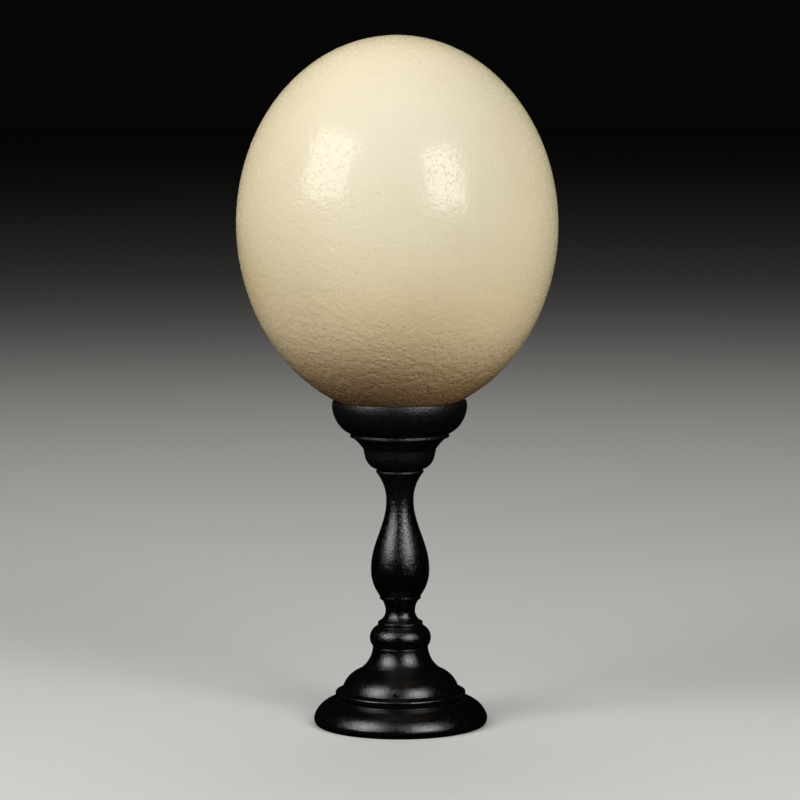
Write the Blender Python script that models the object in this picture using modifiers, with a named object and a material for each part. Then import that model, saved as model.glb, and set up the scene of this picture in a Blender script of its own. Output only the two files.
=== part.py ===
"""Ostrich egg on a turned, ebonised wooden stand.

Four pieces: the egg, and the cup, stem and foot of the stand. Lengths are in metres, +Z is up, and the
origin is the centre of the foot's underside. Every piece is round, so each is drawn as one half outline,
(radius, height) points that run down its outer side, and spun about its axis. Heights in an outline are
measured from the piece's own underside, or from the widest ring of the egg.
"""

from math import asin, cos, hypot, pi, radians, sin, sqrt

import bpy

MM = 0.001

# Egg: an ellipse, slightly longer below its widest ring than above it, and drawn in a little between the ring
# and the ends. It leans to the left in its seat.
EGG_RADIUS = 65.0 * MM
EGG_HEIGHT_ABOVE = 76.1 * MM
EGG_HEIGHT_BELOW = 77.4 * MM
EGG_PINCH = 0.003
EGG_LEAN = radians(0.55)

# The stack, from the table up. A glue line parts the pieces of the stand. The gap under the egg leaves room
# for its lean.
FOOT_HEIGHT = 31.9 * MM
STEM_HEIGHT = 71.9 * MM
CUP_HEIGHT = 27.8 * MM
GLUE_LINE = 0.3 * MM
SEAT_GAP = 0.56 * MM

# Cup: a wide bowl on a fillet, and a small bowl under it. A narrow band inside the rim seats the egg, and the
# dish is relieved below that band.
RIM_RADIUS = 27.5 * MM
RIM_LIP = 0.6 * MM
RIM_ROUNDING = 0.7 * MM
RIM_TURNS = (78, 22)
SEAT_RADIUS = 26.9 * MM
SEAT_WIDTH = 2.8 * MM
DISH_DEPTH = 7.8 * MM
DISH_SAG = 1.5 * MM
BOWL_REACH = 10.3 * MM
BOWL_FALL = 13.0 * MM
BOWL_TURNS = (0, -74)
CUP_FILLET_RADIUS = 20.2 * MM
CUP_FILLET_TOP = 14.5 * MM
CUP_FILLET_BOTTOM = 13.0 * MM
UNDERCUT_OUTER = 19.1 * MM
UNDERCUT_INNER = 15.0 * MM
UNDERCUT_BOTTOM = 8.3 * MM
UNDERCUT_SAG = 0.2 * MM
SMALL_BOWL_RADIUS = 14.4 * MM
SMALL_BOWL_REACH = 5.8 * MM
SMALL_BOWL_FALL = 7.2 * MM
SMALL_BOWL_TURNS = (0, -80)
CUP_UNDERSIDE_RADIUS = 9.4 * MM

# Stem, from its shoulder down: neck, belly, ledge, cove, ledge and collar bead.
SHOULDER_RADIUS = 9.75 * MM
SHOULDER_THICKNESS = 1.1 * MM
NECK_RADIUS = 5.55 * MM
NECK_TOP = 60.1 * MM
NECK_BOTTOM = 59.4 * MM
NECK_FLARE_SAG = 0.9 * MM
BELLY_RADIUS = 11.87 * MM
BELLY_TOP = 31.6 * MM
BELLY_BOTTOM = 31.0 * MM
BELLY_SWELL = 0.95 * MM
LEDGE_RADIUS = 8.3 * MM
LEDGE_TOP = 20.3 * MM
LEDGE_BOTTOM = 18.9 * MM
COVE_MOUTH_RADIUS = 7.6 * MM
COVE_RADIUS = 6.0 * MM
COVE_HEIGHT = 14.2 * MM
COVE_UPPER_SAG = 0.35 * MM
COVE_LOWER_SAG = 0.85 * MM
COLLAR_LEDGE_RADIUS = 9.15 * MM
COLLAR_LEDGE_TOP = 9.6 * MM
COLLAR_LEDGE_BOTTOM = 8.1 * MM
COLLAR_TOP_RADIUS = 9.7 * MM
COLLAR_TOP = 7.8 * MM
COLLAR_SWELL = 1.76 * MM
COLLAR_BOTTOM_RADIUS = 11.5 * MM

# Foot: a bell on a stepped ring, and a quarter-round edge.
THROAT_RADIUS = 11.3 * MM
THROAT_HEIGHT = 31.0 * MM
FLARE_RADIUS = 17.0 * MM
FLARE_HEIGHT = 21.9 * MM
FLARE_SAG = 1.25 * MM
BELL_RADIUS = 23.7 * MM
BELL_BOTTOM = 14.4 * MM
BELL_SWELL = 1.25 * MM
STEP_RADIUS = 26.5 * MM
STEP_TOP = 13.3 * MM
STEP_BOTTOM = 10.3 * MM
EDGE_TOP = 10.0 * MM
EDGE_INNER_RADIUS = 27.0 * MM
EDGE_SWELL = 1.7 * MM
FOOT_RADIUS = 35.4 * MM
WIDEST_HEIGHT = 2.6 * MM
FOOT_UNDERCUT = 1.3 * MM
UNDERCUT_TURNS = (-30, -90)

# Tenons turned on the stem's ends. Their sockets are one glue line wider.
UPPER_TENON_RADIUS = 4.0 * MM
UPPER_TENON_LENGTH = 7.6 * MM
LOWER_TENON_RADIUS = 5.0 * MM
LOWER_TENON_LENGTH = 16.0 * MM
TENON_CHAMFER = 0.6 * MM

BROKEN_EDGE = 0.25 * MM
SHARP_ANGLE = radians(32)
MERGE_DISTANCE = 0.05 * MM

# Facets: their length along an outline, and their number round each piece.
FACET = 2.6 * MM
EGG_FACET = 9.0 * MM
EGG_STEPS = 48
CUP_STEPS = 40
STEM_STEPS = 24
FOOT_STEPS = 40

IVORY_SHELL = (0.80, 0.69, 0.49, 1.0)
SHELL_ROUGHNESS = 0.28
EBONISED_WOOD = (0.014, 0.012, 0.011, 1.0)
WOOD_ROUGHNESS = 0.4


def clear_scene():
    for old in list(bpy.data.objects):
        bpy.data.objects.remove(old, do_unlink=True)


def finish(name, colour, roughness):
    """A plain Principled material."""
    material = bpy.data.materials.new(name)
    material.use_nodes = True
    shader = material.node_tree.nodes["Principled BSDF"]
    shader.inputs["Base Color"].default_value = colour
    shader.inputs["Roughness"].default_value = roughness
    shader.inputs["Metallic"].default_value = 0.0
    return material


def count_steps(length, facet=FACET):
    return max(2, round(length / facet))


def arc(start, end, swell):
    """Points along a circular arc. On a side that runs down, a positive swell bulges outwards."""
    chord = hypot(end[0] - start[0], end[1] - start[1])
    along = ((end[0] - start[0]) / chord, (end[1] - start[1]) / chord)
    side = 1 if swell > 0 else -1
    outward = (-along[1] * side, along[0] * side)
    radius = chord * chord / (8 * abs(swell)) + abs(swell) / 2
    inset = radius - abs(swell)
    centre_r = (start[0] + end[0]) / 2 - outward[0] * inset
    centre_z = (start[1] + end[1]) / 2 - outward[1] * inset
    half_angle = asin(chord / 2 / radius)
    steps = count_steps(2 * half_angle * radius)
    points = []
    for i in range(steps + 1):
        angle = half_angle * (2 * i / steps - 1)
        r = centre_r + radius * (outward[0] * cos(angle) + along[0] * sin(angle))
        z = centre_z + radius * (outward[1] * cos(angle) + along[1] * sin(angle))
        points.append((r, z))
    return points


def oval(centre, reach, rise, turns, facet=FACET):
    """Points along an ellipse, from one angle to another in degrees above its outer end."""
    first, last = turns
    steps = count_steps(radians(abs(last - first)) * max(reach, rise), facet)
    angles = [radians(first + (last - first) * i / steps) for i in range(steps + 1)]
    return [(centre[0] + reach * cos(a), centre[1] + rise * sin(a)) for a in angles]


def swelling(start, end):
    """Points along an S-shaped side that is upright at both ends."""
    steps = count_steps(hypot(end[0] - start[0], end[1] - start[1]))
    points = []
    for i in range(steps + 1):
        share = (1 - cos(pi * i / steps)) / 2
        r = start[0] + (end[0] - start[0]) * share
        z = start[1] + (end[1] - start[1]) * i / steps
        points.append((r, z))
    return points


def egg_drop(radius):
    """How far the egg's underside lies below its widest ring, at a distance from its axis."""
    return EGG_HEIGHT_BELOW * sqrt(1 - (radius / EGG_RADIUS) ** 2)


def egg_outline():
    above = oval((0.0, 0.0), EGG_RADIUS, EGG_HEIGHT_ABOVE, (90, 0), EGG_FACET)
    below = oval((0.0, 0.0), EGG_RADIUS, EGG_HEIGHT_BELOW, (0, -90), EGG_FACET)
    points = [(0.0, EGG_HEIGHT_ABOVE)]
    for r, z in above[1:] + below[1:-1]:
        share = 2 * r / EGG_RADIUS * sqrt(max(0.0, 1 - (r / EGG_RADIUS) ** 2))
        points.append((r * (1 - EGG_PINCH * share * share), z))
    return points + [(0.0, -EGG_HEIGHT_BELOW)]


def cup_outline():
    """From the middle of the dish over the rim, down the outside, and up the socket in the underside."""
    seat_inner = SEAT_RADIUS - SEAT_WIDTH
    seat_bottom = CUP_HEIGHT - (egg_drop(seat_inner) - egg_drop(SEAT_RADIUS))
    dish_bottom = (0.0, CUP_HEIGHT - DISH_DEPTH)
    dish_edge = (seat_inner - BROKEN_EDGE, seat_bottom - BROKEN_EDGE)
    widest = CUP_HEIGHT - RIM_ROUNDING
    small_bowl = (SMALL_BOWL_RADIUS - SMALL_BOWL_REACH, SMALL_BOWL_FALL)
    socket_radius = UPPER_TENON_RADIUS + GLUE_LINE
    return [
        *arc(dish_bottom, dish_edge, -DISH_SAG),
        (seat_inner, seat_bottom),
        (SEAT_RADIUS, CUP_HEIGHT),
        *oval((RIM_RADIUS - RIM_LIP, widest), RIM_LIP, RIM_ROUNDING, RIM_TURNS),
        *oval((RIM_RADIUS - BOWL_REACH, widest), BOWL_REACH, BOWL_FALL, BOWL_TURNS),
        (CUP_FILLET_RADIUS, CUP_FILLET_TOP),
        (CUP_FILLET_RADIUS, CUP_FILLET_BOTTOM + BROKEN_EDGE),
        (CUP_FILLET_RADIUS - BROKEN_EDGE, CUP_FILLET_BOTTOM),
        *arc((UNDERCUT_OUTER, CUP_FILLET_BOTTOM), (UNDERCUT_INNER, UNDERCUT_BOTTOM), -UNDERCUT_SAG),
        *oval(small_bowl, SMALL_BOWL_REACH, SMALL_BOWL_FALL, SMALL_BOWL_TURNS),
        (CUP_UNDERSIDE_RADIUS, 0.0),
        (socket_radius, 0.0),
        (socket_radius, UPPER_TENON_LENGTH),
        (0.0, UPPER_TENON_LENGTH),
    ]


def stem_outline():
    """From the top of the upper tenon, down the outside, to the end of the lower tenon."""
    tenon_top = STEM_HEIGHT + UPPER_TENON_LENGTH
    tenon_end = -LOWER_TENON_LENGTH
    shoulder_bottom = STEM_HEIGHT - SHOULDER_THICKNESS
    flare_top = (SHOULDER_RADIUS - BROKEN_EDGE, shoulder_bottom)
    belly_end = (LEDGE_RADIUS, LEDGE_TOP)
    cove = (COVE_RADIUS, COVE_HEIGHT)
    return [
        (0.0, tenon_top),
        (UPPER_TENON_RADIUS - TENON_CHAMFER, tenon_top),
        (UPPER_TENON_RADIUS, tenon_top - TENON_CHAMFER),
        (UPPER_TENON_RADIUS, STEM_HEIGHT),
        (SHOULDER_RADIUS - BROKEN_EDGE, STEM_HEIGHT),
        (SHOULDER_RADIUS, STEM_HEIGHT - BROKEN_EDGE),
        (SHOULDER_RADIUS, shoulder_bottom + BROKEN_EDGE),
        *arc(flare_top, (NECK_RADIUS, NECK_TOP), -NECK_FLARE_SAG),
        *swelling((NECK_RADIUS, NECK_BOTTOM), (BELLY_RADIUS, BELLY_TOP)),
        *arc((BELLY_RADIUS, BELLY_BOTTOM), belly_end, BELLY_SWELL),
        (LEDGE_RADIUS, LEDGE_BOTTOM),
        *arc((COVE_MOUTH_RADIUS, LEDGE_BOTTOM - BROKEN_EDGE), cove, -COVE_UPPER_SAG),
        *arc(cove, (COLLAR_LEDGE_RADIUS, COLLAR_LEDGE_TOP), -COVE_LOWER_SAG)[1:],
        (COLLAR_LEDGE_RADIUS, COLLAR_LEDGE_BOTTOM),
        *arc((COLLAR_TOP_RADIUS, COLLAR_TOP), (COLLAR_BOTTOM_RADIUS, BROKEN_EDGE), COLLAR_SWELL),
        (COLLAR_BOTTOM_RADIUS - BROKEN_EDGE, 0.0),
        (LOWER_TENON_RADIUS, 0.0),
        (LOWER_TENON_RADIUS, tenon_end + TENON_CHAMFER),
        (LOWER_TENON_RADIUS - TENON_CHAMFER, tenon_end),
        (0.0, tenon_end),
    ]


def foot_outline():
    """From the bottom of the socket, over the top, down the bell, step and edge, to the underside."""
    socket_radius = LOWER_TENON_RADIUS + GLUE_LINE
    socket_bottom = FOOT_HEIGHT - LOWER_TENON_LENGTH
    flare = (FLARE_RADIUS, FLARE_HEIGHT)
    widest = (FOOT_RADIUS, WIDEST_HEIGHT)
    return [
        (0.0, socket_bottom),
        (socket_radius, socket_bottom),
        (socket_radius, FOOT_HEIGHT),
        (THROAT_RADIUS - BROKEN_EDGE, FOOT_HEIGHT),
        (THROAT_RADIUS, FOOT_HEIGHT - BROKEN_EDGE),
        *arc((THROAT_RADIUS, THROAT_HEIGHT), flare, -FLARE_SAG),
        *arc(flare, (BELL_RADIUS, BELL_BOTTOM), BELL_SWELL)[1:],
        (STEP_RADIUS - BROKEN_EDGE, STEP_TOP),
        (STEP_RADIUS, STEP_TOP - BROKEN_EDGE),
        (STEP_RADIUS, STEP_BOTTOM),
        *arc((EDGE_INNER_RADIUS, EDGE_TOP), widest, EDGE_SWELL),
        *oval((FOOT_RADIUS - FOOT_UNDERCUT, WIDEST_HEIGHT), FOOT_UNDERCUT, WIDEST_HEIGHT, UNDERCUT_TURNS),
        (0.0, 0.0),
    ]


def turned(name, outline, steps, height, material, collection, parent):
    """Spins an outline into one solid of revolution, and stands it at its height on the axis."""
    points = [(r, 0.0, z) for r, z in outline]
    edges = [(i, i + 1) for i in range(len(points) - 1)]
    profile = bpy.data.meshes.new(name + " outline")
    profile.from_pydata(points, edges, [])
    piece = bpy.data.objects.new(name, profile)
    collection.objects.link(piece)
    screw = piece.modifiers.new("Turning", "SCREW")
    screw.steps = steps
    screw.render_steps = steps
    screw.use_merge_vertices = True
    screw.merge_threshold = MERGE_DISTANCE
    graph = bpy.context.evaluated_depsgraph_get()
    solid = bpy.data.meshes.new_from_object(piece.evaluated_get(graph))
    piece.modifiers.remove(screw)
    piece.data = solid
    bpy.data.meshes.remove(profile)
    solid.name = name
    solid.shade_smooth()
    solid.set_sharp_from_angle(angle=SHARP_ANGLE)
    solid.materials.append(material)
    piece.location = (0.0, 0.0, height)
    piece.parent = parent
    return piece


def main():
    clear_scene()
    collection = bpy.data.collections.new("ostrich_egg_on_stand")
    bpy.context.scene.collection.children.link(collection)
    base = bpy.data.objects.new("ostrich_egg_on_stand", None)
    collection.objects.link(base)

    shell = finish("ivory_shell", IVORY_SHELL, SHELL_ROUGHNESS)
    wood = finish("ebonised_wood", EBONISED_WOOD, WOOD_ROUGHNESS)

    stem_height = FOOT_HEIGHT + GLUE_LINE
    cup_height = stem_height + STEM_HEIGHT + GLUE_LINE
    rim_height = cup_height + CUP_HEIGHT
    turned("foot", foot_outline(), FOOT_STEPS, 0.0, wood, collection, base)
    turned("stem", stem_outline(), STEM_STEPS, stem_height, wood, collection, base)
    turned("cup", cup_outline(), CUP_STEPS, cup_height, wood, collection, base)

    egg_rise = SEAT_GAP + egg_drop(SEAT_RADIUS)
    egg = turned("egg", egg_outline(), EGG_STEPS, 0.0, shell, collection, base)
    egg.location = (-egg_rise * sin(EGG_LEAN), 0.0, rim_height + egg_rise * cos(EGG_LEAN))
    egg.rotation_euler = (0.0, -EGG_LEAN, 0.0)


main()
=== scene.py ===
"""Ostrich egg on its turned, ebonised stand: fine surfaces, finishes, lamps, floor and camera.

Lengths are in metres, +Z is up, and the origin is the centre of the foot's underside. The stand's pieces
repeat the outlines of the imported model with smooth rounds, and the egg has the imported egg's size.
"""

from math import asin, cos, hypot, pi, radians, sin, sqrt

import bmesh
import bpy
from mathutils import Euler, Matrix, Vector


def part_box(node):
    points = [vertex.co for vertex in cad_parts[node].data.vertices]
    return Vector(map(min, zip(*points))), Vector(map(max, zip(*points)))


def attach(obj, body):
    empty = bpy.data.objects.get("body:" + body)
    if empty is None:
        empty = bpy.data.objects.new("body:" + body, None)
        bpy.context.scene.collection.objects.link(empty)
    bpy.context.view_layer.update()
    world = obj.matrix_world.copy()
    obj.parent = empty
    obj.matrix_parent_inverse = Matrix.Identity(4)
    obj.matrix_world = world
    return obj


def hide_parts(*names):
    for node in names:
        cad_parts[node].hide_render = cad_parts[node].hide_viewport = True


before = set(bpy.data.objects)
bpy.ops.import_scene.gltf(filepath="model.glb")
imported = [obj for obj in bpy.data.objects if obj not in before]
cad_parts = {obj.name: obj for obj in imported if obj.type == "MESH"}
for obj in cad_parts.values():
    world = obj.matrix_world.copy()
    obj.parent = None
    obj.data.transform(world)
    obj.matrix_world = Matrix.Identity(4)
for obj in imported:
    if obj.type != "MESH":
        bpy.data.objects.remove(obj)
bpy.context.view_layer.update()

MM = 0.001

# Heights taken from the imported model.
FOOT_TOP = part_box("foot")[1].z
CUP_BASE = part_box("cup")[0].z
RIM_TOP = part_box("cup")[1].z
EGG_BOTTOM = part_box("egg")[0].z

# The stand's joints.
GLUE_LINE = 0.3 * MM
STEM_BASE = FOOT_TOP + GLUE_LINE
STEM_HEIGHT = CUP_BASE - GLUE_LINE - STEM_BASE
CUP_HEIGHT = RIM_TOP - CUP_BASE
UPPER_TENON_RADIUS = 4.0 * MM
UPPER_TENON_LENGTH = 7.6 * MM
LOWER_TENON_RADIUS = 5.0 * MM
LOWER_TENON_LENGTH = 16.0 * MM
TENON_CHAMFER = 0.6 * MM

# Egg, from its widest ring. It leans to the left about the middle of the rim, with a gap under it.
EGG_RADIUS = 65.0 * MM
EGG_HEIGHT_ABOVE = 76.1 * MM
EGG_HEIGHT_BELOW = 77.4 * MM
EGG_LEAN = radians(0.55)
SEAT_GAP = 0.56 * MM

# The egg's skin before its waves and dimples are pressed in, from its widest ring.
SKIN_RADIUS = 64.85 * MM
SKIN_HEIGHT_ABOVE = 76.0 * MM
SKIN_HEIGHT_BELOW = 77.4 * MM
EGG_HALVINGS = 7

# The shell's relief, which is pressed inwards: each pattern's size across, its depth, and how many finer
# patterns ride on it.
SWELLS = (13.0 * MM, 0.14 * MM, 1)
RIPPLES = (2.9 * MM, 0.31 * MM, 0)
DIMPLES = (1.8 * MM, 0.26 * MM, 1)

# The relief is whole near the egg's lower end and fades upwards, to these shares of its depth.
RELIEF_WHOLE_BELOW = EGG_BOTTOM + 12 * MM
RELIEF_FAINT_ABOVE = EGG_BOTTOM + 80 * MM
FAINT_RIPPLES = 0.34
FAINT_DIMPLES = 0.09
RELIEF_FADING = 1.25

# Cup: a wide bowl on a fillet, and a small bowl under it. Angles are in degrees above an oval's outer end.
RIM_RADIUS = 27.5 * MM
LIP_RADIUS = 27.13 * MM
LIP_REACH = 0.16 * MM
LIP_ROUNDING = 0.2 * MM
LIP_ANGLES = (78, 15)
SEAT_RADIUS = 26.9 * MM
SEAT_WIDTH = 2.8 * MM
SEAT_STEP = 0.25 * MM
DISH_DEPTH = 7.8 * MM
DISH_SAG = 1.5 * MM
BOWL_WIDEST_UNDER_RIM = 0.7 * MM
BOWL_REACH = 10.3 * MM
BOWL_FALL = 13.0 * MM
BOWL_ANGLES = (-12, -74)
BOWL_SHOULDER_SWELL = 0.16 * MM
CUP_FILLET_RADIUS = 20.2 * MM
CUP_FILLET_TOP = 14.5 * MM
CUP_FILLET_BOTTOM = 13.0 * MM
UNDERCUT_OUTER = 19.1 * MM
UNDERCUT_INNER = 14.8 * MM
UNDERCUT_BOTTOM = 8.3 * MM
UNDERCUT_SAG = 0.2 * MM
SMALL_BOWL_RADIUS = 14.4 * MM
SMALL_BOWL_REACH = 5.8 * MM
SMALL_BOWL_FALL = 7.2 * MM
SMALL_BOWL_ANGLES = (-14, -80)
CUP_UNDERSIDE_RADIUS = 9.4 * MM

# The narrow bands between the hollows are turned slightly round. The upper two widen a little downwards,
# and the ledge under the belly narrows.
BAND_SWELL = 0.15 * MM
BAND_LEAN = 0.2 * MM

# Stem: shoulder, neck, belly, ledge, cove, ledge and collar bead.
SHOULDER_RADIUS = 9.75 * MM
SHOULDER_THICKNESS = 1.1 * MM
SHOULDER_STEP = 0.25 * MM
NECK_RADIUS = 5.55 * MM
NECK_TOP = 60.1 * MM
NECK_BOTTOM = 59.4 * MM
NECK_FLARE_SAG = 0.9 * MM
BELLY_RADIUS = 11.87 * MM
BELLY_TOP = 31.6 * MM
BELLY_BOTTOM = 31.0 * MM
BELLY_SWELL = 0.95 * MM
LEDGE_RADIUS = 8.3 * MM
LEDGE_TOP = 20.3 * MM
LEDGE_BOTTOM = 18.9 * MM
COVE_MOUTH_RADIUS = 7.6 * MM
COVE_RADIUS = 6.0 * MM
COVE_HEIGHT = 14.2 * MM
COVE_UPPER_SAG = 0.35 * MM
COVE_LOWER_SAG = 0.85 * MM
COLLAR_LEDGE_RADIUS = 9.15 * MM
COLLAR_LEDGE_TOP = 9.6 * MM
COLLAR_LEDGE_BOTTOM = 8.1 * MM
COLLAR_TOP_RADIUS = 9.7 * MM
COLLAR_TOP = 7.8 * MM
COLLAR_SWELL = 1.76 * MM
COLLAR_BOTTOM_RADIUS = 11.5 * MM

# Foot: throat, bell, step ring and quarter-round edge.
THROAT_RADIUS = 11.3 * MM
THROAT_HEIGHT = 31.0 * MM
FLARE_RADIUS = 17.0 * MM
FLARE_HEIGHT = 21.9 * MM
FLARE_SAG = 1.25 * MM
BELL_RADIUS = 23.7 * MM
BELL_BOTTOM = 14.4 * MM
BELL_SWELL = 1.25 * MM
STEP_RADIUS = 26.5 * MM
STEP_TOP = 13.3 * MM
STEP_BOTTOM = 10.3 * MM
EDGE_TOP = 10.0 * MM
EDGE_INNER_RADIUS = 27.0 * MM
EDGE_SWELL = 1.7 * MM
FOOT_RADIUS = 35.4 * MM
WIDEST_HEIGHT = 2.6 * MM
FOOT_UNDERCUT = 1.3 * MM
FOOT_UNDERCUT_ANGLES = (-15, -90)

# How finely the pieces are turned, and how far each sharp corner is sanded away to either side of it, which
# is never more than a share of the way to the next corner.
OUTLINE_STEP = 0.42 * MM
SEAM_GAP = 0.002 * MM
SHARP_TURN = radians(18)
SANDED_ARRIS = 0.5 * MM
SANDED_HOLLOW = 0.15 * MM
MOST_OF_THE_WAY = 0.45
ROUNDING_SHARES = (0, 0.25, 0.5, 0.75, 1)
CUP_STEPS = 288
STEM_STEPS = 224
FOOT_STEPS = 320


# ---------------------------------------------------------------- drawing outlines


def count_steps(length):
    """How many short steps a stroke of some length is drawn in."""
    return max(2, round(length / OUTLINE_STEP))


def line(start, end):
    """Points along a straight stroke."""
    steps = count_steps(hypot(end[0] - start[0], end[1] - start[1]))
    return [(start[0] + (end[0] - start[0]) * i / steps, start[1] + (end[1] - start[1]) * i / steps)
            for i in range(steps + 1)]


def arc(start, end, swell):
    """Points along a circular arc. On a side that runs down, a positive swell bulges outwards."""
    chord = hypot(end[0] - start[0], end[1] - start[1])
    along = ((end[0] - start[0]) / chord, (end[1] - start[1]) / chord)
    side = 1 if swell > 0 else -1
    outward = (-along[1] * side, along[0] * side)
    radius = chord * chord / (8 * abs(swell)) + abs(swell) / 2
    inset = radius - abs(swell)
    centre_r = (start[0] + end[0]) / 2 - outward[0] * inset
    centre_z = (start[1] + end[1]) / 2 - outward[1] * inset
    half_angle = asin(chord / 2 / radius)
    steps = count_steps(2 * half_angle * radius)
    points = []
    for i in range(steps + 1):
        angle = half_angle * (2 * i / steps - 1)
        r = centre_r + radius * (outward[0] * cos(angle) + along[0] * sin(angle))
        z = centre_z + radius * (outward[1] * cos(angle) + along[1] * sin(angle))
        points.append((r, z))
    return points


def band(radius, top, bottom, lean=0.0):
    """Points down a narrow, slightly round band. A positive lean draws its top in."""
    return arc((radius - BAND_SWELL - lean, top), (radius - BAND_SWELL, bottom), BAND_SWELL)


def oval(centre, reach, rise, angles):
    """Points along an ellipse, from one angle to another in degrees above its outer end."""
    first, last = angles
    steps = count_steps(radians(abs(last - first)) * max(reach, rise))
    stops = [radians(first + (last - first) * i / steps) for i in range(steps + 1)]
    return [(centre[0] + reach * cos(a), centre[1] + rise * sin(a)) for a in stops]


def swelling(start, end):
    """Points along an S-shaped side that is upright at both ends."""
    steps = count_steps(hypot(end[0] - start[0], end[1] - start[1]))
    points = []
    for i in range(steps + 1):
        share = (1 - cos(pi * i / steps)) / 2
        points.append((start[0] + (end[0] - start[0]) * share, start[1] + (end[1] - start[1]) * i / steps))
    return points


def strokes(*pieces):
    """Joins strokes end to end, with straight strokes between those whose ends don't meet."""
    points = list(pieces[0])
    for piece in pieces[1:]:
        gap = hypot(piece[0][0] - points[-1][0], piece[0][1] - points[-1][1])
        if gap > SEAM_GAP:
            points += line(points[-1], piece[0])[1:-1]
            points.append(piece[0])
        points += piece[1:]
    return points


def turn_at(before, corner, after):
    """The angle by which an outline turns at a point: above 0 on a hollow, below 0 on an arris."""
    into = Vector((corner[0] - before[0], corner[1] - before[1]))
    out = Vector((after[0] - corner[0], after[1] - corner[1]))
    return into.angle(out) * (1 if into.cross(out) > 0 else -1)


def break_edges(points):
    """Rounds each sharp corner along an outline, as sanding does, an arris more than a hollow."""
    run = [0.0]
    for here, there in zip(points, points[1:]):
        run.append(run[-1] + hypot(there[0] - here[0], there[1] - here[1]))
    turns = [0.0] + [turn_at(*three) for three in zip(points, points[1:], points[2:])] + [0.0]
    corners = [i for i, angle in enumerate(turns) if abs(angle) > SHARP_TURN]
    stops = [0.0] + [run[i] for i in corners] + [run[-1]]
    cuts = {}
    for number, i in enumerate(corners):
        room = min(run[i] - stops[number], stops[number + 2] - run[i])
        cuts[i] = min(SANDED_HOLLOW if turns[i] > 0 else SANDED_ARRIS, MOST_OF_THE_WAY * room)

    def along(distance):
        i = max(n for n in range(len(run) - 1) if run[n] <= distance)
        share = (distance - run[i]) / (run[i + 1] - run[i])
        return Vector(points[i]).lerp(Vector(points[i + 1]), share)

    soft = []
    for i, point in enumerate(points):
        if i in cuts:
            first, middle, last = along(run[i] - cuts[i]), Vector(point), along(run[i] + cuts[i])
            for share in ROUNDING_SHARES:
                bent = first.lerp(middle, share).lerp(middle.lerp(last, share), share)
                soft.append((bent.x, bent.y))
        elif all(abs(run[i] - run[n]) > cut for n, cut in cuts.items()):
            soft.append(point)
    return soft


# ---------------------------------------------------------------- the stand's outlines


def egg_drop(radius):
    """How far the egg's underside lies below its widest ring, at a distance from its axis."""
    return EGG_HEIGHT_BELOW * sqrt(1 - (radius / EGG_RADIUS) ** 2)


def cup_outline():
    """From the middle of the dish over the rim, down the outside, and up the socket in the underside."""
    seat_inner = SEAT_RADIUS - SEAT_WIDTH
    seat_bottom = CUP_HEIGHT - (egg_drop(seat_inner) - egg_drop(SEAT_RADIUS))
    dish_bottom = (0.0, CUP_HEIGHT - DISH_DEPTH)
    dish_edge = (seat_inner - SEAT_STEP, seat_bottom - SEAT_STEP)
    lip_centre = (LIP_RADIUS - LIP_REACH, CUP_HEIGHT - LIP_ROUNDING)
    lip = oval(lip_centre, LIP_REACH, LIP_ROUNDING, LIP_ANGLES)
    bowl_centre = (RIM_RADIUS - BOWL_REACH, CUP_HEIGHT - BOWL_WIDEST_UNDER_RIM)
    bowl = oval(bowl_centre, BOWL_REACH, BOWL_FALL, BOWL_ANGLES)
    small_bowl_centre = (SMALL_BOWL_RADIUS - SMALL_BOWL_REACH, SMALL_BOWL_FALL)
    socket_radius = UPPER_TENON_RADIUS + GLUE_LINE
    return strokes(
        arc(dish_bottom, dish_edge, -DISH_SAG),
        line((seat_inner, seat_bottom), (SEAT_RADIUS, CUP_HEIGHT)),
        lip,
        arc(lip[-1], bowl[0], BOWL_SHOULDER_SWELL),
        bowl,
        band(CUP_FILLET_RADIUS, CUP_FILLET_TOP, CUP_FILLET_BOTTOM, BAND_LEAN),
        arc((UNDERCUT_OUTER, CUP_FILLET_BOTTOM), (UNDERCUT_INNER, UNDERCUT_BOTTOM), -UNDERCUT_SAG),
        oval(small_bowl_centre, SMALL_BOWL_REACH, SMALL_BOWL_FALL, SMALL_BOWL_ANGLES),
        line((CUP_UNDERSIDE_RADIUS, 0.0), (socket_radius, 0.0)),
        line((socket_radius, UPPER_TENON_LENGTH), (0.0, UPPER_TENON_LENGTH)),
    )


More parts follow.
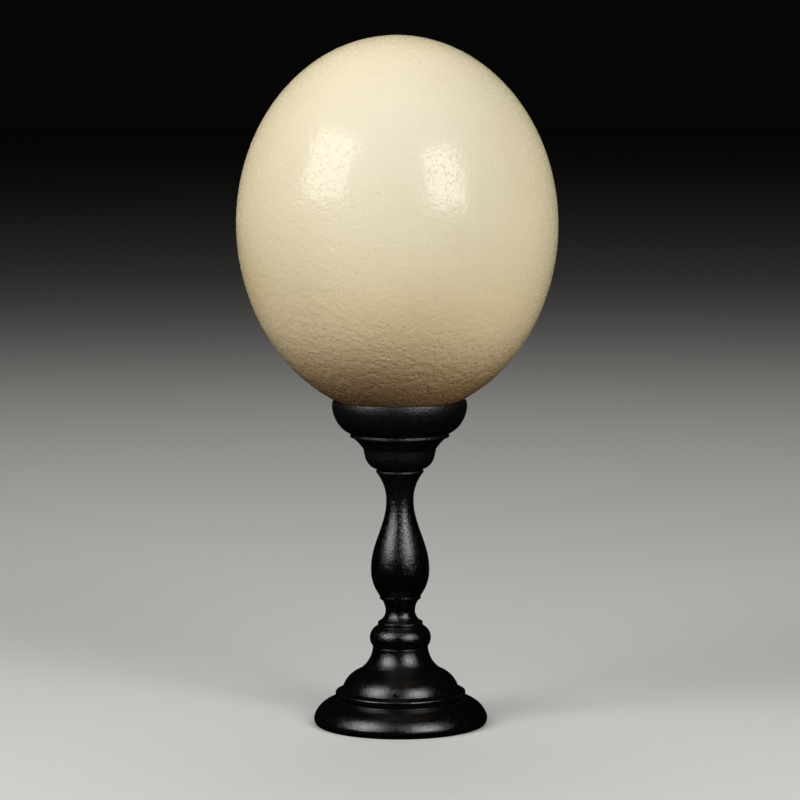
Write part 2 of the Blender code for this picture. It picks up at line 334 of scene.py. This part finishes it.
def stem_outline():
    """From the top of the upper tenon, down the outside, to the end of the lower tenon."""
    tenon_top = STEM_HEIGHT + UPPER_TENON_LENGTH
    tenon_end = -LOWER_TENON_LENGTH
    shoulder_bottom = STEM_HEIGHT - SHOULDER_THICKNESS
    flare_top = (SHOULDER_RADIUS - SHOULDER_STEP, shoulder_bottom)
    cove = (COVE_RADIUS, COVE_HEIGHT)
    return strokes(
        line((0.0, tenon_top), (UPPER_TENON_RADIUS - TENON_CHAMFER, tenon_top)),
        line((UPPER_TENON_RADIUS, tenon_top - TENON_CHAMFER), (UPPER_TENON_RADIUS, STEM_HEIGHT)),
        band(SHOULDER_RADIUS, STEM_HEIGHT, shoulder_bottom, BAND_LEAN),
        arc(flare_top, (NECK_RADIUS, NECK_TOP), -NECK_FLARE_SAG),
        swelling((NECK_RADIUS, NECK_BOTTOM), (BELLY_RADIUS, BELLY_TOP)),
        arc((BELLY_RADIUS, BELLY_BOTTOM), (LEDGE_RADIUS, LEDGE_TOP), BELLY_SWELL),
        band(LEDGE_RADIUS, LEDGE_TOP, LEDGE_BOTTOM, -BAND_LEAN),
        arc((COVE_MOUTH_RADIUS, LEDGE_BOTTOM), cove, -COVE_UPPER_SAG),
        arc(cove, (COLLAR_LEDGE_RADIUS, COLLAR_LEDGE_TOP), -COVE_LOWER_SAG),
        band(COLLAR_LEDGE_RADIUS, COLLAR_LEDGE_TOP, COLLAR_LEDGE_BOTTOM),
        arc((COLLAR_TOP_RADIUS, COLLAR_TOP), (COLLAR_BOTTOM_RADIUS, 0.0), COLLAR_SWELL),
        line((LOWER_TENON_RADIUS, 0.0), (LOWER_TENON_RADIUS, tenon_end + TENON_CHAMFER)),
        line((LOWER_TENON_RADIUS - TENON_CHAMFER, tenon_end), (0.0, tenon_end)),
    )


def foot_outline():
    """From the bottom of the socket, over the top, down the bell, step and edge, to the underside."""
    socket_radius = LOWER_TENON_RADIUS + GLUE_LINE
    socket_bottom = FOOT_TOP - LOWER_TENON_LENGTH
    flare = (FLARE_RADIUS, FLARE_HEIGHT)
    widest = (FOOT_RADIUS, WIDEST_HEIGHT)
    undercut_centre = (FOOT_RADIUS - FOOT_UNDERCUT, WIDEST_HEIGHT)
    return strokes(
        line((0.0, socket_bottom), (socket_radius, socket_bottom)),
        line((socket_radius, FOOT_TOP), (THROAT_RADIUS, FOOT_TOP)),
        arc((THROAT_RADIUS, THROAT_HEIGHT), flare, -FLARE_SAG),
        arc(flare, (BELL_RADIUS, BELL_BOTTOM), BELL_SWELL),
        line((STEP_RADIUS, STEP_TOP), (STEP_RADIUS, STEP_BOTTOM)),
        arc((EDGE_INNER_RADIUS, EDGE_TOP), widest, EDGE_SWELL),
        oval(undercut_centre, FOOT_UNDERCUT, WIDEST_HEIGHT, FOOT_UNDERCUT_ANGLES),
        line((FOOT_RADIUS - FOOT_UNDERCUT, 0.0), (0.0, 0.0)),
    )


# ---------------------------------------------------------------- modelling by hand


def start_fresh():
    """Deselects every object."""
    bpy.ops.object.select_all(action="DESELECT")


def select_all():
    """Selects the whole mesh that is being edited."""
    bpy.ops.mesh.select_all(action="SELECT")


def apply_modifier(piece, kind, **settings):
    """Adds a modifier, sets it and applies it."""
    modifier = piece.modifiers.new(kind.title(), kind)
    for name, value in settings.items():
        setattr(modifier, name, value)
    bpy.ops.object.modifier_apply(modifier=modifier.name)


def turn(name, outline, steps, height):
    """Draws an outline point by point, spins it round the axis, and closes the seam and the poles."""
    start_fresh()
    first = outline[0]
    bpy.ops.mesh.primitive_plane_add(size=MM, location=(first[0], 0.0, first[1] + height))
    piece = bpy.context.object
    piece.name = piece.data.name = name
    bpy.ops.object.transform_apply(location=True, rotation=True, scale=True)
    bpy.ops.object.mode_set(mode="EDIT")
    select_all()
    bpy.ops.mesh.merge(type="CENTER")
    for here, there in zip(outline, outline[1:]):
        step = (there[0] - here[0], 0.0, there[1] - here[1])
        bpy.ops.mesh.extrude_region_move(TRANSFORM_OT_translate={"value": step})
    bpy.ops.object.mode_set(mode="OBJECT")
    apply_modifier(piece, "SCREW", axis="Z", angle=2 * pi, steps=steps, render_steps=steps,
                   use_merge_vertices=True, merge_threshold=SEAM_GAP)
    bpy.ops.object.mode_set(mode="EDIT")
    select_all()
    bpy.ops.mesh.remove_doubles(threshold=SEAM_GAP)
    bpy.ops.mesh.normals_make_consistent(inside=False)
    bpy.ops.object.mode_set(mode="OBJECT")
    bpy.ops.object.shade_smooth()
    return piece


EGG_RISE = SEAT_GAP + egg_drop(SEAT_RADIUS)
EGG_MIDDLE = RIM_TOP + EGG_RISE * cos(EGG_LEAN)


def weigh_relief(egg, faint_share):
    """Gives each point of the shell its share of the next pattern: all of it below, less of it above."""
    egg.vertex_groups.clear()
    group = egg.vertex_groups.new(name="relief")
    for vertex in egg.data.vertices:
        share = (RELIEF_FAINT_ABOVE - vertex.co.z) / (RELIEF_FAINT_ABOVE - RELIEF_WHOLE_BELOW)
        share = min(1.0, max(0.0, share)) ** RELIEF_FADING
        group.add([vertex.index], faint_share + (1 - faint_share) * share, "REPLACE")


def press_in(egg, name, pattern):
    """Presses a cloudy pattern into the shell, inwards only, by each point's share of its depth."""
    size, depth, finer = pattern
    clouds = bpy.data.textures.new(name, "CLOUDS")
    clouds.noise_basis = "IMPROVED_PERLIN"
    clouds.noise_scale = size
    clouds.noise_depth = finer
    apply_modifier(egg, "DISPLACE", texture=clouds, texture_coords="LOCAL", strength=depth,
                   mid_level=1.0, vertex_group="relief")
    bpy.data.textures.remove(clouds)


def model_egg():
    """A cube, halved over and over and drawn out to a ball, then stretched above and below its middle."""
    start_fresh()
    middle = (0.0, 0.0, 0.0)
    bpy.ops.mesh.primitive_cube_add(size=2 * SKIN_RADIUS, location=middle)
    egg = bpy.context.object
    egg.name = egg.data.name = "ostrich_egg"
    bpy.ops.object.mode_set(mode="EDIT")
    for _ in range(EGG_HALVINGS):
        select_all()
        bpy.ops.mesh.subdivide(number_cuts=1)
        bpy.ops.transform.tosphere(value=1.0)
    bpy.ops.object.mode_set(mode="OBJECT")
    size = SKIN_RADIUS / max(vertex.co.x for vertex in egg.data.vertices)
    bpy.ops.object.mode_set(mode="EDIT")
    select_all()
    bpy.ops.transform.resize(value=(size, size, size), center_override=middle)
    for side, height in ((1, SKIN_HEIGHT_ABOVE), (-1, SKIN_HEIGHT_BELOW)):
        mesh = bmesh.from_edit_mesh(egg.data)
        for face in mesh.faces:
            face.select_set(face.calc_center_median().z * side > 0)
        bmesh.update_edit_mesh(egg.data)
        bpy.ops.transform.resize(value=(1.0, 1.0, height / SKIN_RADIUS), center_override=middle)
    select_all()
    bpy.ops.transform.translate(value=(0.0, 0.0, RIM_TOP + EGG_RISE))
    bpy.ops.transform.rotate(value=EGG_LEAN, orient_axis="Y", center_override=(0.0, 0.0, RIM_TOP))
    bpy.ops.object.mode_set(mode="OBJECT")
    weigh_relief(egg, FAINT_RIPPLES)
    press_in(egg, "swell", SWELLS)
    press_in(egg, "ripple", RIPPLES)
    weigh_relief(egg, FAINT_DIMPLES)
    press_in(egg, "dimple", DIMPLES)
    egg.vertex_groups.clear()
    bpy.ops.object.shade_smooth()
    return egg


# ---------------------------------------------------------------- tools for finishes

# A Mix node's sockets for its share and two colours, and its colour output. Their names aren't unique.
MIX_SHARE, MIX_FIRST, MIX_SECOND, MIX_COLOUR = 0, 6, 7, 2


class Field:
    """A value that varies over a surface. Arithmetic on it adds the nodes that work it out."""

    def __init__(self, finish, socket):
        self.finish = finish
        self.socket = socket

    def math(self, operation, first, second):
        return self.finish.add("ShaderNodeMath", {"operation": operation}, {0: first, 1: second})

    def __add__(self, other):
        return self.math("ADD", self, other)

    def __sub__(self, other):
        return self.math("SUBTRACT", self, other)

    def __rsub__(self, other):
        return self.math("SUBTRACT", other, self)

    def __mul__(self, other):
        return self.math("MULTIPLY", self, other)

    def __pow__(self, other):
        return self.math("POWER", self, other)

    __radd__ = __add__
    __rmul__ = __mul__


class Finish:
    """A surface finish: a material and the patterns that feed it."""

    def __init__(self, name):
        self.material = bpy.data.materials.new(name)
        self.material.use_nodes = True
        self.tree = self.material.node_tree
        self.shader = self.tree.nodes["Principled BSDF"]
        self.place = self.add("ShaderNodeTexCoord", {}, {}, "Object")
        self.height = self.add("ShaderNodeSeparateXYZ", {}, {"Vector": self.place}, "Z")

    def add(self, kind, settings, sockets, output=0):
        """Adds a node, sets it, then feeds its sockets with values or fields, and gives one output back."""
        node = self.tree.nodes.new(kind)
        for name, value in settings.items():
            setattr(node, name, value)
        self.feed(node, sockets)
        return Field(self, node.outputs[output])

    def feed(self, node, sockets):
        """Links a field to each socket, or sets the socket's own value."""
        for name, value in sockets.items():
            if isinstance(value, Field):
                self.tree.links.new(value.socket, node.inputs[name])
            else:
                node.inputs[name].default_value = value

    def stretched(self, across, along, offset):
        """The place on the piece, for a pattern with one size across the grain and one along it."""
        scale = (1 / across, 1 / across, 1 / along)
        return self.add("ShaderNodeMapping", {}, {"Vector": self.place, "Location": offset, "Scale": scale})

    def noise(self, size, detail=2.0, roughness=0.5, place=None):
        """An even, cloudy pattern from 0 to 1 whose blots are about so large."""
        sockets = {"Vector": place or self.place, "Scale": 1 / size, "Detail": detail, "Roughness": roughness}
        return self.add("ShaderNodeTexNoise", {}, sockets)

    def spots(self, spacing, output="Distance", place=None):
        """The distance to the nearest of many scattered points, as a share of their spacing."""
        sockets = {"Vector": place or self.place, "Scale": 1 / spacing}
        return self.add("ShaderNodeTexVoronoi", {}, sockets, output)

    def ramp(self, field, start, end, low=0.0, high=1.0):
        """Goes smoothly from the low to the high value while a field goes from start to end."""
        sockets = {"Value": field, "From Min": start, "From Max": end, "To Min": low, "To Max": high}
        return self.add("ShaderNodeMapRange", {"interpolation_type": "SMOOTHSTEP"}, sockets)

    def near(self, point, radius):
        """1 at a point on the piece, falling smoothly to 0 at a distance from it."""
        sockets = {0: self.place, 1: point}
        distance = self.add("ShaderNodeVectorMath", {"operation": "DISTANCE"}, sockets, "Value")
        return self.ramp(distance, radius, 0.0)

    def mix(self, share, colour, other):
        """Goes from one colour to another by a share."""
        sockets = {MIX_SHARE: share, MIX_FIRST: colour, MIX_SECOND: other}
        return self.add("ShaderNodeMix", {"data_type": "RGBA"}, sockets, MIX_COLOUR)

    def pits(self, spacing, radius, floor, rarity):
        """Scattered round pits, 1 on the floor of the deepest. The higher the rarity, the fewer are deep."""
        chance = self.add("ShaderNodeSeparateXYZ", {}, {"Vector": self.spots(spacing, "Color")}, "X")
        return self.ramp(self.spots(spacing), radius / spacing, floor / spacing) * chance ** rarity

    def bump(self, relief):
        """A relief given in millimetres."""
        return self.add("ShaderNodeBump", {}, {"Height": relief, "Distance": MM})


# ---------------------------------------------------------------- the shell's finish

IVORY = (0.840, 0.719, 0.452, 1.0)
# Whiter and a little darker than the ivory: painted sheen and shade for the upper front.
PAINTED_SHEEN_IVORY = (0.710, 0.641, 0.502, 1.0)
# Honey: warmer than the ivory and brighter in red, painted to lift the lower half where the lamps light it
# too little, and to stand in for its warm shade.
HONEY = (0.880, 0.700, 0.416, 1.0)
STRAW = (0.66, 0.47, 0.20, 1.0)
# Tan darkens the lower end: partly the shell's own colour, partly painted warm shade.
TAN = (0.53, 0.304, 0.137, 1.0)
# Brown for painted shade in the pits and pricks.
PIT_SHADE_BROWN = (0.45, 0.32, 0.16, 1.0)
SPECK_BROWN = (0.25, 0.16, 0.08, 1.0)

# Painted sheen and shade: the upper front, where the lamps fall most, is painted whiter and a little darker
# than the ivory. The shell turns honey and then tan towards its lower end, partly its own colour and partly
# painted warm shade, and the honey is painted brighter in red where the lamps light the lower half too
# little. Each share is how much of a tint shows where it is strongest, and each unevenness is how far a
# tint's edge wanders.
PAINTED_SHEEN_MIDDLE = (0.0, -60.0 * MM, EGG_MIDDLE + 38 * MM)
PAINTED_SHEEN_REACH = 105 * MM
PAINTED_SHEEN_SHARE = 0.9
HONEY_TOP = EGG_BOTTOM + 76 * MM
HONEY_BOTTOM = EGG_BOTTOM + 27 * MM
HONEY_UNEVENNESS = 14 * MM
TAN_TOP = EGG_BOTTOM + 39 * MM
TAN_BOTTOM = EGG_BOTTOM + 6 * MM
TAN_UNEVENNESS = 8 * MM

# Clouding over the whole shell, with faint tan where it is thick.
CLOUDING_SIZE = 18 * MM
CLOUDING_DETAIL = 3.0
CLOUDING_RANGE = (0.45, 0.75)
CLOUDING_SHARE = 0.06

# Painted shade: a tan patch low on the front darkens it where the lamps light it too much.
PAINTED_SHADE_AZIMUTH = 6
PAINTED_SHADE_HEIGHT = EGG_BOTTOM + 31 * MM
PAINTED_SHADE_RADIUS = 36 * MM
PAINTED_SHADE_SHARE = 0.2

# Painted warm shade: a straw-coloured patch low on the left side, where the shaded edge is yellower.
WARM_SHADE_AZIMUTH = -72
WARM_SHADE_HEIGHT = 184.0 * MM
WARM_SHADE_RADIUS = 26 * MM
WARM_SHADE_SHARE = 0.35

# Marks on the shell: degrees round from the front, height above the floor, radius, and strength.
MARKS = (
    (51, 191.0 * MM, 0.55 * MM, 0.9),
    (-15, 187.5 * MM, 0.7 * MM, 0.35),
    (14, 268.0 * MM, 0.8 * MM, 0.35),
    (-7, 218.0 * MM, 0.7 * MM, 0.3),
)

# Wide pits and fine pricks in the shell: their spacing, radius, floor's radius, and rarity.
PITS = (1.9 * MM, 1.0 * MM, 0.08 * MM, 0.8)
PRICKS = (1.55 * MM, 0.60 * MM, 0.28 * MM, 0.3)
# How much painted shade darkens the pits and the pricks.
PIT_SHADE_SHARE = 0.08
PRICK_SHADE_SHARE = 0.03

# The finest relief: orange peel, pits and pricks, with their depths in millimetres. The peel and the pits
# are scaled by a share that grows from the least one, above, to the most below.
PEEL_SIZE = 2.0 * MM
PEEL_DETAIL = 2.0
PEEL_ROUGHNESS = 0.6
PEEL_DEPTH = 0.21
PIT_DEPTH = 0.15
PRICK_DEPTH = 0.05
PEEL_LEAST_ABOVE = EGG_BOTTOM + 64 * MM
PEEL_LEAST = 0.36
PEEL_GROWTH = 1.34
PEEL_FADING = 1.6

# The shell's gloss: its roughness, and what a patchy film, the pits and the pricks add to it.
SHELL_ROUGHNESS = 0.13
FILM_SIZE = 1.6 * MM
FILM_DULLS = 0.05
PITS_DULL = 0.1
PRICKS_DULL = 0.6
SHELL_IOR = 1.37


def on_egg(azimuth, height):
    """A point of the egg's surface, by its angle to the right of the front and its height."""
    rise = height - EGG_MIDDLE
    share = rise / (EGG_HEIGHT_ABOVE if rise > 0 else EGG_HEIGHT_BELOW)
    radius = EGG_RADIUS * sqrt(1 - share * share)
    return (radius * sin(radians(azimuth)), -radius * cos(radians(azimuth)), height)


def tint_shell(shell, pits, pricks):
    """The shell's colour: ivory, with painted sheen and shade on the upper front, honey and tan below that
    are partly its own colour and partly painted warm shade, painted shade low on the front and in the pores,
    painted warm shade on the left side, and a few marks.
    """
    clouding = shell.noise(CLOUDING_SIZE, CLOUDING_DETAIL)
    wander = clouding - 0.5
    # The upper front is painted whiter and darker: painted sheen and shade where the lamps fall most.
    colour = shell.mix(shell.near(PAINTED_SHEEN_MIDDLE, PAINTED_SHEEN_REACH) * PAINTED_SHEEN_SHARE, IVORY, PAINTED_SHEEN_IVORY)
    # Honey and tan below: partly the shell's own warmer lower end, partly painted warm shade and painted
    # light.
    honeyed = shell.ramp(shell.height + wander * HONEY_UNEVENNESS, HONEY_TOP, HONEY_BOTTOM)
    colour = shell.mix(honeyed, colour, HONEY)
    colour = shell.mix(shell.ramp(clouding, *CLOUDING_RANGE) * CLOUDING_SHARE, colour, TAN)
    tanned = shell.ramp(shell.height + wander * TAN_UNEVENNESS, TAN_TOP, TAN_BOTTOM)
    colour = shell.mix(tanned, colour, TAN)
    # Painted shade in the pits and pricks.
    colour = shell.mix(pits * PIT_SHADE_SHARE + pricks * PRICK_SHADE_SHARE, colour, PIT_SHADE_BROWN)
    # Painted shade, a tan patch low on the front.
    painted_shade = shell.near(on_egg(PAINTED_SHADE_AZIMUTH, PAINTED_SHADE_HEIGHT), PAINTED_SHADE_RADIUS)
    colour = shell.mix(painted_shade * PAINTED_SHADE_SHARE, colour, TAN)
    # Painted warm shade, a straw-coloured patch on the left side.
    warm_shade = shell.near(on_egg(WARM_SHADE_AZIMUTH, WARM_SHADE_HEIGHT), WARM_SHADE_RADIUS)
    colour = shell.mix(warm_shade * WARM_SHADE_SHARE, colour, STRAW)
    for azimuth, height, radius, strength in MARKS:
        colour = shell.mix(shell.near(on_egg(azimuth, height), radius) * strength, colour, SPECK_BROWN)
    return colour


def shell_finish():
    """Glossy ivory shell, wrinkled like orange peel and finely pitted."""
    shell = Finish("ivory_shell")
    pits = shell.pits(*PITS)
    pricks = shell.pits(*PRICKS)
    peel = shell.noise(PEEL_SIZE, PEEL_DETAIL, PEEL_ROUGHNESS)
    lower = shell.ramp(shell.height, PEEL_LEAST_ABOVE, RELIEF_WHOLE_BELOW) ** PEEL_FADING
    roughening = PEEL_LEAST + lower * PEEL_GROWTH
    relief = (peel * PEEL_DEPTH - pits * PIT_DEPTH) * roughening - pricks * PRICK_DEPTH
    film = shell.noise(FILM_SIZE) * FILM_DULLS
    shell.feed(shell.shader, {
        "Base Color": tint_shell(shell, pits, pricks),
        "Roughness": SHELL_ROUGHNESS + film + pits * PITS_DULL + pricks * PRICKS_DULL,
        "IOR": SHELL_IOR,
        "Normal": shell.bump(relief),
    })
    return shell.material


# ---------------------------------------------------------------- the wood's finish

EBONY = (0.0016, 0.0013, 0.0012, 1.0)
EBONY_LIGHT = (0.0075, 0.0058, 0.0052, 1.0)
WORN_EDGE = (0.065, 0.032, 0.019, 1.0)
DUST = (0.40, 0.37, 0.32, 1.0)

# Fibres along the axis, the brightest of them a little lighter. Depths are in millimetres throughout.
FIBRE_WIDTH = 0.45 * MM
FIBRE_LENGTH = 3.2 * MM
FIBRE_DETAIL = 3.0
FIBRE_ROUGHNESS = 0.6
FIBRE_DEPTH = 0.07
LIGHT_FIBRES = (0.5, 0.8)

# Grit under the wax, and short open vessels along the grain.
GRIT_SIZE = 0.7 * MM
GRIT_DETAIL = 2.0
GRIT_ROUGHNESS = 0.65
VESSEL_WIDTH = 0.8 * MM
VESSEL_LENGTH = 4.0 * MM
VESSEL_EDGE = 0.2
VESSEL_FLOOR = 0.04
VESSEL_DEPTH = 0.05

# Marks of the turning tool, as rings whose height falls with their radius.
TURNING_SPACING = 0.6 * MM
TURNING_DETAIL = 2.0
TURNING_SLOPE = 0.7

# The worn edges show in patches, and a few specks of dust lie on the wax.
WEAR_PATCH_SIZE = 1.6 * MM
WEAR_PATCH_DETAIL = 3.0
WEAR_PATCH_RANGE = (0.42, 0.66)
DUST_SPACING = 6.5 * MM
DUST_EDGE = 0.03
DUST_CORE = 0.015
DUST_SHARE = 0.5

# The wax is rubbed bright on the foot and the belly, and is duller up the neck and on the cup.
POLISHED = 0.065
DULL = 0.35
POLISHED_BELOW = STEM_BASE + 48 * MM
DULL_ABOVE = CUP_BASE

# Tiny dry spots in the wax, and what they and the rest add to its roughness.
DRY_SPOT_SIZE = 0.45 * MM
DRY_SPOT_DETAIL = 1.0
DRY_SPOT_RANGE = (0.5, 0.68)
DRY_SPOTS_DULL = 0.14
GRIT_DULLS = 0.04
VESSELS_DULL = 0.2
DUST_DULLS = 0.3
WOOD_IOR = 1.6

# For each piece: how far its grain is shifted, in the pattern's own widths and lengths, and the depths of its
# grit and of its turning marks.
GRAIN_SHIFT = {"cup": (0.3, 0.7, 0.2), "stem": (0.0, 0.0, 0.0), "foot": (0.9, 0.1, 0.6)}
GRIT_DEPTH = {"cup": 0.20, "stem": 0.18, "foot": 0.14}
TURNING_DEPTH = {"cup": 0.03, "stem": 0.05, "foot": 0.03}

# For each piece, its worn edges: radius, height, width and strength.
WORN_EDGES = {
    "cup": (
        (CUP_FILLET_RADIUS, CUP_BASE + CUP_FILLET_BOTTOM, 0.6 * MM, 0.22),
        (RIM_RADIUS, RIM_TOP - BOWL_WIDEST_UNDER_RIM, 0.8 * MM, 0.17),
    ),
    "stem": (
        (SHOULDER_RADIUS, STEM_BASE + STEM_HEIGHT - SHOULDER_THICKNESS, 0.5 * MM, 0.22),
        (LEDGE_RADIUS, STEM_BASE + LEDGE_TOP, 0.5 * MM, 0.28),
        (COLLAR_LEDGE_RADIUS, STEM_BASE + COLLAR_LEDGE_TOP, 0.5 * MM, 0.22),
        (COLLAR_TOP_RADIUS, STEM_BASE + COLLAR_TOP, 0.5 * MM, 0.17),
        (COLLAR_BOTTOM_RADIUS, STEM_BASE, 0.5 * MM, 0.44),
    ),
    "foot": (
        (THROAT_RADIUS, FOOT_TOP, 0.5 * MM, 0.28),
        (BELL_RADIUS, BELL_BOTTOM, 0.6 * MM, 0.17),
        (STEP_RADIUS, STEP_TOP, 0.6 * MM, 0.22),
        (STEP_RADIUS, STEP_BOTTOM, 0.5 * MM, 0.22),
        (FOOT_RADIUS, WIDEST_HEIGHT, 1.0 * MM, 0.066),
    ),
}


def wood_finish(node):
    """Black stained wood under thin wax: grain along the axis, turning marks, and edges worn lighter."""
    wood = Finish(f"ebonised_{node}")
    shift = GRAIN_SHIFT[node]
    flat = wood.add("ShaderNodeVectorMath", {"operation": "MULTIPLY"}, {0: wood.place, 1: (1.0, 1.0, 0.0)})
    radius = wood.add("ShaderNodeVectorMath", {"operation": "LENGTH"}, {0: flat}, "Value")

    along_fibres = wood.stretched(FIBRE_WIDTH, FIBRE_LENGTH, shift)
    fibres = wood.noise(1.0, FIBRE_DETAIL, FIBRE_ROUGHNESS, along_fibres)
    grit = wood.noise(GRIT_SIZE, GRIT_DETAIL, GRIT_ROUGHNESS)
    along_vessels = wood.stretched(VESSEL_WIDTH, VESSEL_LENGTH, shift)
    vessels = wood.ramp(wood.spots(1.0, place=along_vessels), VESSEL_EDGE, VESSEL_FLOOR)
    rings = {"W": wood.height - radius * TURNING_SLOPE, "Scale": 1 / TURNING_SPACING,
             "Detail": TURNING_DETAIL}
    turning = wood.add("ShaderNodeTexNoise", {"noise_dimensions": "1D"}, rings)
    dust = wood.ramp(wood.spots(DUST_SPACING), DUST_EDGE, DUST_CORE)

    colour = wood.mix(wood.ramp(fibres, *LIGHT_FIBRES), EBONY, EBONY_LIGHT)
    patches = wood.ramp(wood.noise(WEAR_PATCH_SIZE, WEAR_PATCH_DETAIL), *WEAR_PATCH_RANGE)
    for edge_radius, edge_height, width, strength in WORN_EDGES[node]:
        away = ((radius - edge_radius) ** 2.0 + (wood.height - edge_height) ** 2.0) ** 0.5
        colour = wood.mix(wood.ramp(away, width, 0.0) * patches * strength, colour, WORN_EDGE)
    colour = wood.mix(dust * DUST_SHARE, colour, DUST)

    relief = (grit * GRIT_DEPTH[node] + fibres * FIBRE_DEPTH - vessels * VESSEL_DEPTH
              + turning * TURNING_DEPTH[node])
    polish = wood.ramp(wood.height, POLISHED_BELOW, DULL_ABOVE, POLISHED, DULL)
    dry = wood.ramp(wood.noise(DRY_SPOT_SIZE, DRY_SPOT_DETAIL), *DRY_SPOT_RANGE)
    gloss = polish + grit * GRIT_DULLS + vessels * VESSELS_DULL + dry * DRY_SPOTS_DULL + dust * DUST_DULLS
    wood.feed(wood.shader, {
        "Base Color": colour,
        "Roughness": gloss,
        "IOR": WOOD_IOR,
        "Normal": wood.bump(relief),
    })
    return wood.material


# ---------------------------------------------------------------- camera, lamps and floor

CAMERA_PLACE = (0.00018, -1.266, 0.2572)
CAMERA_PITCH = radians(5.63)
CAMERA_ROLL = radians(0.2)
CAMERA_LENS = 141.5
CAMERA_SENSOR = 36.0

FLOOR_SIZE = 40.0
FLOOR_COLOUR = (0.62, 0.61, 0.58, 1.0)
FLOOR_ROUGHNESS = 0.8
ROOM_COLOUR = (0.002, 0.002, 0.002, 1.0)

# Lamps, all aimed at the egg: degrees to the right of the camera's side, degrees up, distance from the egg,
# width, height and radiance. The first two make the highlights.
SOFTBOXES = (
    ("left_softbox", -54.4, 28.5, 1.2, 0.71, 0.73, 6.85),
    ("right_softbox", 36.5, 24, 1.2, 0.57, 0.66, 8.2),
)
BACK_SOFTBOX = ("back_softbox", 180, 58, 1.5, 1.1, 1.1, 1.8)
FLOOR_SOFTBOX = ("floor_softbox", 0, 55, 2.6, 2.0, 2.0, 1.0)
FILLS = (
    ("left_fill", -90, 45, 1.2, 0.9, 0.9, 0.78),
    ("right_fill", 85, -3, 1.2, 0.9, 0.3, 2.0),
    ("low_left_fill", -50, -8, 1.4, 0.9, 0.36, 3.0),
    ("low_right_fill", 52, -8, 1.4, 0.9, 0.36, 2.3),
    ("front_fill", 5, 4, 1.4, 0.9, 0.36, 0.9),
    ("back_fill", 180, 12, 1.5, 1.3, 0.8, 2.8),
)


def set_camera():
    """Puts the camera where the photograph was taken from."""
    data = bpy.data.cameras.new("camera")
    camera = bpy.data.objects.new("camera", data)
    bpy.context.scene.collection.objects.link(camera)
    data.sensor_width = CAMERA_SENSOR
    data.lens = CAMERA_LENS
    pitch = Euler((pi / 2 - CAMERA_PITCH, 0.0, 0.0)).to_matrix().to_4x4()
    camera.matrix_world = Matrix.Translation(CAMERA_PLACE) @ pitch @ Matrix.Rotation(-CAMERA_ROLL, 4, "Z")
    bpy.context.scene.camera = camera


def softbox(name, azimuth, elevation, distance, width, height, radiance, lit=None, glossy=True):
    """A flat lamp that faces the egg.

    It lights everything, or only the pieces of one collection, and can be left out of reflections.
    """
    turn_by = radians(azimuth)
    lift = radians(elevation)
    towards = Vector((sin(turn_by) * cos(lift), -cos(turn_by) * cos(lift), sin(lift)))
    data = bpy.data.lights.new(name, "AREA")
    data.shape = "RECTANGLE"
    data.size = width
    data.size_y = height
    data.energy = radiance * pi * width * height
    lamp = bpy.data.objects.new(name, data)
    bpy.context.scene.collection.objects.link(lamp)
    lamp.location = Vector((0.0, 0.0, EGG_MIDDLE)) + towards * distance
    lamp.rotation_euler = towards.to_track_quat("Z", "Y").to_euler()
    lamp.visible_camera = False
    lamp.visible_glossy = glossy
    lamp.light_linking.receiver_collection = lit


def collect(name, pieces):
    """Gathers pieces in a group that a lamp can be kept to."""
    group = bpy.data.collections.new(name)
    for piece in pieces:
        group.objects.link(piece)
    return group


def light_scene(pieces, floor):
    """Two softboxes, a dim one from behind, one for the floor, and weak fills for the egg and stand."""
    shown = collect("egg_and_stand", pieces)
    ground = collect("ground", [floor])
    for lamp in SOFTBOXES:
        softbox(*lamp)
    softbox(*BACK_SOFTBOX, glossy=False)
    softbox(*FLOOR_SOFTBOX, lit=ground)
    for lamp in FILLS:
        softbox(*lamp, lit=shown, glossy=False)


def lay_floor():
    """A plain pale floor that throws neither light nor reflections on the object."""
    start_fresh()
    bpy.ops.mesh.primitive_plane_add(size=FLOOR_SIZE, location=(0.0, 0.0, 0.0))
    floor = bpy.context.object
    floor.name = "floor"
    pale = Finish("pale_floor")
    pale.feed(pale.shader, {"Base Color": FLOOR_COLOUR, "Roughness": FLOOR_ROUGHNESS})
    floor.data.materials.append(pale.material)
    floor.visible_diffuse = False
    floor.visible_glossy = False
    return floor


def dim_room():
    """A nearly black room. Colours are shown as they are, with no film look."""
    world = bpy.data.worlds.new("dim_room")
    world.use_nodes = True
    world.node_tree.nodes["Background"].inputs["Color"].default_value = ROOM_COLOUR
    bpy.context.scene.world = world
    bpy.context.scene.view_settings.view_transform = "Standard"


# ---------------------------------------------------------------- putting it together

# The stand's pieces: node, outline, steps round the axis, and the height of the outline's zero.
STAND = (
    ("cup", cup_outline, CUP_STEPS, CUP_BASE),
    ("stem", stem_outline, STEM_STEPS, STEM_BASE),
    ("foot", foot_outline, FOOT_STEPS, 0.0),
)


def dress(piece, node, material):
    """Gives a piece its finish and puts it in its node's place."""
    piece.data.materials.append(material)
    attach(piece, "root")
    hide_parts(node)


def main():
    """Models and finishes the pieces, and sets the scene."""
    egg = model_egg()
    dress(egg, "egg", shell_finish())
    pieces = [egg]
    for node, outline, steps, height in STAND:
        piece = turn(f"turned_{node}", break_edges(outline()), steps, height)
        dress(piece, node, wood_finish(node))
        pieces.append(piece)

    set_camera()
    floor = lay_floor()
    light_scene(pieces, floor)
    dim_room()


main()
